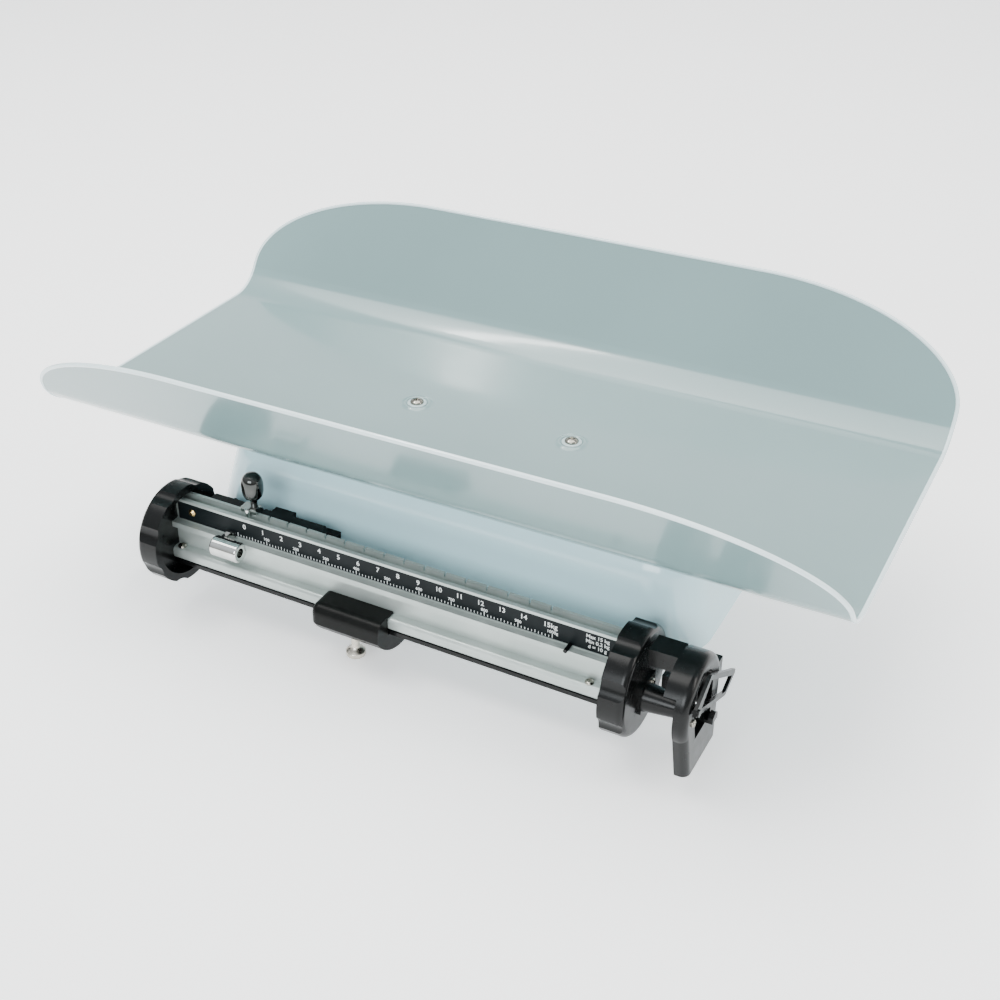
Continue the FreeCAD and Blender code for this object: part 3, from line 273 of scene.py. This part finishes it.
def add_box(mesh_data, matrix, low, high):
    """A block between two corners in millimetres, in a local frame."""
    centre = [(a + b) / 2 * MM for a, b in zip(low, high)]
    size = [(b - a) * MM for a, b in zip(low, high)]
    place = matrix @ Matrix.Translation(centre) @ Matrix.Diagonal((*size, 1))
    bmesh.ops.create_cube(mesh_data, size=1, matrix=place)


def blend_four(p, q, r, s, t):
    """The Catmull-Rom value a fraction t of the way from q to r."""
    square = 2 * p - 5 * q + 4 * r - s
    cube = 3 * q - p - 3 * r + s
    return 0.5 * (2 * q + (r - p) * t + square * t * t + cube * t ** 3)


def smooth_profile(points, steps=5):
    """A Catmull-Rom curve through (radius, height) pairs."""
    padded = [points[0], *points, points[-1]]
    curve = []
    for a, b, c, d in zip(padded, padded[1:], padded[2:], padded[3:]):
        for i in range(steps):
            curve.append(tuple(blend_four(*values, i / steps) for values in zip(a, b, c, d)))
    curve.append(points[-1])
    return [(max(radius, 0), height) for radius, height in curve]


def screw_head(name, matrix, radius, height, material, body, slot, replaced=()):
    """A domed head with a cross recess."""
    base = bmesh.new()
    dome = [(radius * math.cos(a), height * (0.25 + 0.75 * math.sin(a)))
            for a in (math.radians(d) for d in range(0, 90, 10))]
    add_lathe(base, [(0, 0), (radius, 0), *dome, (0, height)], matrix, 40)
    head = finish_mesh(name, base, material, body, replaced)
    tool = bmesh.new()
    reach, half = radius * 0.52, radius * 0.11
    for low, high in (((-reach, -half), (reach, half)), ((-half, -reach), (half, reach))):
        add_box(tool, matrix @ Matrix.Rotation(0.4, 4, "Z"), (*low, height * 0.45), (*high, height * 2))
    cutter_mesh = bpy.data.meshes.new(name + "_cutter")
    tool.to_mesh(cutter_mesh)
    tool.free()
    cutter = bpy.data.objects.new(name + "_cutter", cutter_mesh)
    bpy.context.scene.collection.objects.link(cutter)
    recess = head.modifiers.new("Recess", "BOOLEAN")
    recess.object = cutter
    recess.operation = "DIFFERENCE"
    recess.solver = "EXACT"
    recess.use_self = True
    bpy.context.view_layer.update()
    carved = bpy.data.meshes.new_from_object(head.evaluated_get(bpy.context.evaluated_depsgraph_get()))
    head.modifiers.remove(recess)
    head.data = carved
    bpy.data.objects.remove(cutter)
    return head


# ---------------------------------------------------------------- tray

def tray_point(x, run):
    """A place on the tray's middle surface: x and the distance along its section from the floor's centre."""
    if run < 0:
        edge, bend, slope, away = -FLOOR_FRONT, FRONT_BEND, math.radians(FRONT_SLOPE), -1
    else:
        edge, bend, slope, away = FLOOR_BACK, BACK_BEND, math.radians(BACK_SLOPE), 1
    middle = bend + TRAY_GAUGE / 2
    floor = TRAY_FLOOR - TRAY_GAUGE / 2
    left = abs(run)
    if left <= edge:
        return Vector((x, away * left, floor)) * MM
    turned = min((left - edge) / bend, slope)
    up_wall = max(left - edge - bend * slope, 0)
    reach = edge + middle * math.sin(turned) + up_wall * math.cos(slope)
    height = floor + middle * (1 - math.cos(turned)) + up_wall * math.sin(slope)
    return Vector((x, away * reach, height)) * MM


def wall_run(side, up_wall):
    """The distance along the section to a point that far up a wall."""
    if side < 0:
        return FLOOR_FRONT - FRONT_BEND * math.radians(FRONT_SLOPE) - up_wall
    return FLOOR_BACK + BACK_BEND * math.radians(BACK_SLOPE) + up_wall


def tray_end(x, start, end):
    """Points down one open end of the tray, between two distances along its section."""
    return [tray_point(x, start + (end - start) * i / END_STEPS) for i in range(1, END_STEPS)]


def rim_corner(side, hand):
    """Points round one corner of the tray, side -1 at the front and hand -1 at the left."""
    long, short = FRONT_CORNER if side < 0 else BACK_CORNER
    wall = FRONT_WALL if side < 0 else BACK_WALL
    centre_x = hand * (TRAY_HALF - long)
    centre_run = wall_run(side, wall - short)
    arc = []
    for i in range(CORNER_STEPS + 1):
        angle = math.pi / 2 * i / CORNER_STEPS
        x = centre_x + hand * long * math.cos(angle)
        arc.append(tray_point(x, centre_run + side * short * math.sin(angle)))
    return arc


def rim_path():
    """The tray's edge as a closed path: wall tops, rounded corners and open ends."""
    front = wall_run(-1, FRONT_WALL - FRONT_CORNER[1])
    back = wall_run(1, BACK_WALL - BACK_CORNER[1])
    return [*rim_corner(-1, -1), *reversed(rim_corner(-1, 1)), *tray_end(TRAY_HALF, front, back),
            *rim_corner(1, 1), *reversed(rim_corner(1, -1)), *tray_end(-TRAY_HALF, back, front)]


def add_tube(mesh_data, path, radius, sides=10):
    """A tube round a closed path."""
    count = len(path)
    rings = []
    for i, spot in enumerate(path):
        heading = (path[(i + 1) % count] - path[i - 1]).normalized()
        level = heading.cross(Vector((0, 0, 1)))
        level = level.normalized() if level.length > 0.05 else Vector((0, 1, 0))
        upright = level.cross(heading)
        rings.append([mesh_data.verts.new(spot + (level * math.cos(a) + upright * math.sin(a)) * radius * MM)
                      for a in (2 * math.pi * k / sides for k in range(sides))])
    for i in range(count):
        near, far = rings[i], rings[(i + 1) % count]
        shift = min(range(sides), key=lambda s: (near[0].co - far[s].co).length)
        for k in range(sides):
            j = (k + 1) % sides
            mesh_data.faces.new((near[k], near[j], far[(j + shift) % sides], far[(k + shift) % sides]))


def make_tray_rim():
    """The rolled bead round the tray's edge, in a lighter copy of the tray enamel that paints its highlight.
    """
    bead = bmesh.new()
    add_tube(bead, rim_path(), BEAD_RADIUS)
    finish_mesh("tray_rim_bead", bead, RIM_PAINTED_HIGHLIGHT, "platform", sharp=80)


def make_tray_screws():
    """Domed screws, each in a raised enamelled dimple with a washer."""
    mound = smooth_profile([(11.5, 0.0), (10.2, 0.25), (9.0, 0.75), (7.8, 0.85), (6.9, 0.3), (6.5, 0.05)])
    for index, hand in enumerate((-1, 1)):
        place = Matrix.Translation(Vector((hand * SCREW_REACH, SCREW_LINE, TRAY_FLOOR)) * MM)
        dimple = bmesh.new()
        add_lathe(dimple, mound, place, 56)
        finish_mesh(f"tray_dimple_{index}", dimple, TRAY, "platform", sharp=60)
        washer = bmesh.new()
        add_lathe(washer, [(6.6, 0.0), (6.6, 0.55), (6.3, 0.75), (4.2, 0.75), (4.2, 0.0)], place, 48)
        finish_mesh(f"tray_screw_washer_{index}", washer, WASHER, "platform")
        replaced = ("tray_screws",) if index == 0 else ()
        seat = place @ Matrix.Translation((0, 0, WASHER_TOP * MM))
        screw_head(f"tray_screw_{index}", seat, *TRAY_HEAD, SCREW, "platform", "chrome", replaced)


# ---------------------------------------------------------------- beam

def make_notches():
    """A bright countersunk seat in the groove under each notch of the fin."""
    seats = bmesh.new()
    profile = [(1.25, 0.05), (1.0, 0.28), (0.7, 0.30), (0.25, 0.10), (0, 0.06)]
    for index in range(NOTCH_COUNT):
        place = beam_matrix(NOTCH_ZERO + index * NOTCH_PITCH, GROOVE_LINE, GROOVE_FLOOR)
        add_lathe(seats, profile, place, 20)
    finish_mesh("notch_seats", seats, CHROME, "beam", sharp=50)


def make_ticks():
    """The graduations: a short stroke each ten grams, longer each fifty and hundred."""
    strokes = bmesh.new()
    for index in range(GRAM_COUNT + 1):
        length = TICK_LONG if index % 10 == 0 else TICK_MIDDLE if index % 5 == 0 else TICK_SHORT
        foot = beam_matrix(GRAM_ZERO + index * GRAM_PITCH, LABEL_FACE, LABEL_BOTTOM + TICK_FOOT)
        add_box(strokes, foot, (-TICK_HALF, -0.07, 0), (TICK_HALF, 0.02, length))
    finish_mesh("label_ticks", strokes, PRINT, "beam")


def add_words(mesh_data, words, x, z, height):
    """Raised lettering on the label, centred at x with its foot at z."""
    curve = bpy.data.curves.new(words, "FONT")
    curve.body = words
    curve.align_x = "CENTER"
    curve.size = height * MM / 0.69
    curve.extrude = 0.04 * MM
    curve.offset = 0.018 * height * MM
    curve.resolution_u = 3
    holder = bpy.data.objects.new(words, curve)
    bpy.context.scene.collection.objects.link(holder)
    bpy.context.view_layer.update()
    mesh = bpy.data.meshes.new_from_object(holder.evaluated_get(bpy.context.evaluated_depsgraph_get()))
    turn = Matrix((ALONG, RISE, -ACROSS)).transposed().to_4x4()
    mesh.transform(Matrix.Translation(on_beam(x, LABEL_FACE, z)) @ turn)
    mesh_data.from_mesh(mesh)
    bpy.data.objects.remove(holder)
    bpy.data.meshes.remove(mesh)


def make_numbers():
    """Whole kilograms under the notches, grams over the long strokes, and the range of the scale."""
    numbers = bmesh.new()
    for index in range(NOTCH_COUNT):
        last = index == NOTCH_COUNT - 1
        words = f"{index}kg" if last else str(index)
        shift = KILO_UNIT_SHIFT if last else 0
        add_words(numbers, words, NOTCH_ZERO + index * NOTCH_PITCH + shift, KILO_FOOT, KILO_HEIGHT)
    for index in range(1, 11):
        words = f"{index * 100}g" if index == 10 else str(index * 100)
        add_words(numbers, words, GRAM_ZERO + index * 10 * GRAM_PITCH, GRAM_FOOT, GRAM_HEIGHT)
    for foot, words in RANGE_LINES.items():
        add_words(numbers, words, RANGE_MIDDLE, foot, RANGE_HEIGHT)
    finish_mesh("label_numbers", numbers, PRINT, "beam")


def make_side_head(name, node, head, body):
    """A screw head facing right, at the outer end of the CAD screw that it stands for."""
    low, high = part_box(node)
    middle = (low + high) / 2
    seat = Matrix.Translation((high.x - head[1] * MM, middle.y, middle.z))
    sideways = Matrix.Rotation(math.pi / 2, 4, "Y")
    screw_head(name, seat @ sideways, *head, SCREW, body, "chrome", (node,))


def make_beam_screws():
    """Cross-recess screws on the beam, its cap and the swing stop."""
    for index, x in enumerate(BEAM_SCREWS):
        replaced = ("beam_screws",) if index == 0 else ()
        seat = beam_matrix(x, BEAM_SCREW_LINE, BEAM_SCREW_LEVEL)
        screw_head(f"beam_screw_{index}", seat, *BEAM_HEAD, SCREW, "beam", "chrome", replaced)
    make_side_head("cap_screw_head", "cap_screw", CAP_HEAD, "beam")
    make_side_head("plate_screw_head", "plate_screw", PLATE_HEAD, "base")


# ---------------------------------------------------------------- poises

def make_handle():
    """The main poise's teardrop knob."""
    knob = bmesh.new()
    outline = [(2.3, 0), (2.4, 2.0), (3.4, 3.8), (5.8, 6.2), (7.0, 9.5), (7.3, 13.5),
               (7.1, 17.0), (6.1, 20.2), (4.2, 22.4), (2.0, 23.3), (0, 23.6)]
    add_lathe(knob, smooth_profile(outline), beam_matrix(NOTCH_ZERO, KNOB_LINE, KNOB_FOOT), 56)
    finish_mesh("main_poise_knob", knob, KNOB_PAINTED_DARK_REFLECTION, "main_poise", ("main_poise_handle",), sharp=60)


def make_thumb_screw():
    """The tare poise's knurled screw."""
    screw = bmesh.new()
    place = beam_matrix(THUMB_MIDDLE, THUMB_LINE, THUMB_FOOT)
    shaft_top = THUMB_TOP - THUMB_FOOT

    def knurl(index, radius, height):
        return 0.988 if radius > 6 and 0.5 < height < 4.2 and index % 2 else 1.0

    profile = [(0, 0), (5.4, 0), (6.3, 0.6), (6.5, 1.2), (6.5, 3.8), (6.0, 4.4), (4.4, 5.4), (3.2, 6.4),
               (2.75, 7.2), (2.75, shaft_top - 1), (2.2, shaft_top), (0, shaft_top)]
    add_lathe(screw, profile, place, 96, knurl)
    finish_mesh("thumb_screw_body", screw, NICKEL, "thumb_screw", ("thumb_screw",))


# ---------------------------------------------------------------- studio

def make_stage():
    """A pale floor that runs up to a pale backdrop."""
    floor = bmesh.new()
    wide, near, far, radius, tall = 6.0, -4.0, 3.0, 1.2, 4.0
    section = [(near, 0.0), (far, 0.0)]
    section += [(far + radius * math.sin(a), radius * (1 - math.cos(a)))
                for a in (math.radians(d) for d in range(6, 91, 6))]
    section.append((far + radius, tall))
    rows = [[floor.verts.new((x, y, z)) for x in (-wide, wide)] for y, z in section]
    for lower, upper in zip(rows, rows[1:]):
        floor.faces.new((lower[0], lower[1], upper[1], upper[0]))
    mesh = bpy.data.meshes.new("studio_floor")
    floor.to_mesh(mesh)
    floor.free()
    mesh.polygons.foreach_set("use_smooth", [True] * len(mesh.polygons))
    paper = surface("studio_paper", (0.88, 0.88, 0.88), (0.90, 0.90, 0.90), (0.8, 0.9), mottle=2, grain=60,
                    strength=0.02)
    glow = paper.node_tree.nodes["Principled BSDF"].inputs
    glow["Emission Color"].default_value = (1, 1, 1, 1)
    glow["Emission Strength"].default_value = 0.6
    mesh.materials.append(paper)
    stage = bpy.data.objects.new("studio_floor", mesh)
    bpy.context.scene.collection.objects.link(stage)


def add_area(name, place, target, size, power, colour):
    """A soft box aimed at a target."""
    light = bpy.data.lights.new(name, "AREA")
    light.shape = "RECTANGLE"
    light.size, light.size_y = size
    light.energy = power
    light.color = colour
    lamp = bpy.data.objects.new(name, light)
    lamp.location = place
    lamp.rotation_euler = (Vector(target) - Vector(place)).to_track_quat("-Z", "Y").to_euler()
    bpy.context.scene.collection.objects.link(lamp)


def make_surround():
    """A surround that is pale above and dims towards the horizon."""
    world = bpy.data.worlds.new("surround")
    world.use_nodes = True
    tree = world.node_tree
    coordinates = tree.nodes.new("ShaderNodeTexCoord")
    split = tree.nodes.new("ShaderNodeSeparateXYZ")
    fade = tree.nodes.new("ShaderNodeValToRGB")
    fade.color_ramp.elements[0].position = 0.08
    fade.color_ramp.elements[0].color = (0.50, 0.50, 0.49, 1)
    fade.color_ramp.elements[1].position = 0.55
    fade.color_ramp.elements[1].color = (0.92, 0.96, 1.0, 1)
    tree.links.new(coordinates.outputs["Generated"], split.inputs["Vector"])
    tree.links.new(split.outputs["Z"], fade.inputs["Fac"])
    background = tree.nodes["Background"]
    background.inputs["Strength"].default_value = 1.15
    tree.links.new(fade.outputs["Color"], background.inputs["Color"])
    bpy.context.scene.world = world


def make_lights():
    """A warm soft box overhead, a cool one in front, and two narrow ones that draw highlights."""
    add_area("overhead", (-0.4, 0.1, 2.2), (0, 0, 0.1), (2.6, 2.0), 84, (1.0, 0.99, 0.965))
    add_area("front", (0.3, -2.6, 1.3), (0, 0, 0.1), (1.8, 1.0), 62, (0.92, 0.97, 1.0))
    add_area("right_strip", (2.0, 0.1, 1.0), (0, 0, 0.1), (0.4, 1.4), 16, (1.0, 0.97, 0.93))
    add_area("ceiling_strip", (-0.95, -0.15, 2.1), (0, 0, 0.1), (1.6, 0.10), 16, (1.0, 0.99, 0.97))
    make_surround()


def make_camera():
    """The view that the scale is seen from."""
    camera = bpy.data.cameras.new("camera")
    camera.sensor_width = 36
    camera.lens = 51.17
    camera.shift_x = 0.0018
    camera.shift_y = -0.0019
    camera.dof.use_dof = False
    azimuth, elevation, roll = (math.radians(angle) for angle in (27.728, 32.184, -0.17))
    eye = bpy.data.objects.new("camera", camera)
    ahead = Vector((-math.sin(azimuth) * math.cos(elevation), math.cos(azimuth) * math.cos(elevation),
                    -math.sin(elevation)))
    right = Vector((math.cos(azimuth), math.sin(azimuth), 0))
    turn = Matrix((right, right.cross(ahead), -ahead)).transposed().to_4x4()
    eye.matrix_world = Matrix.Translation((0.3873, -0.7285, 0.5860)) @ turn @ Matrix.Rotation(roll, 4, "Z")
    bpy.context.scene.collection.objects.link(eye)
    bpy.context.scene.camera = eye


make_tray_rim()
make_tray_screws()
make_notches()
make_ticks()
make_numbers()
make_beam_screws()
make_handle()
make_thumb_screw()
make_stage()
make_lights()
make_camera()
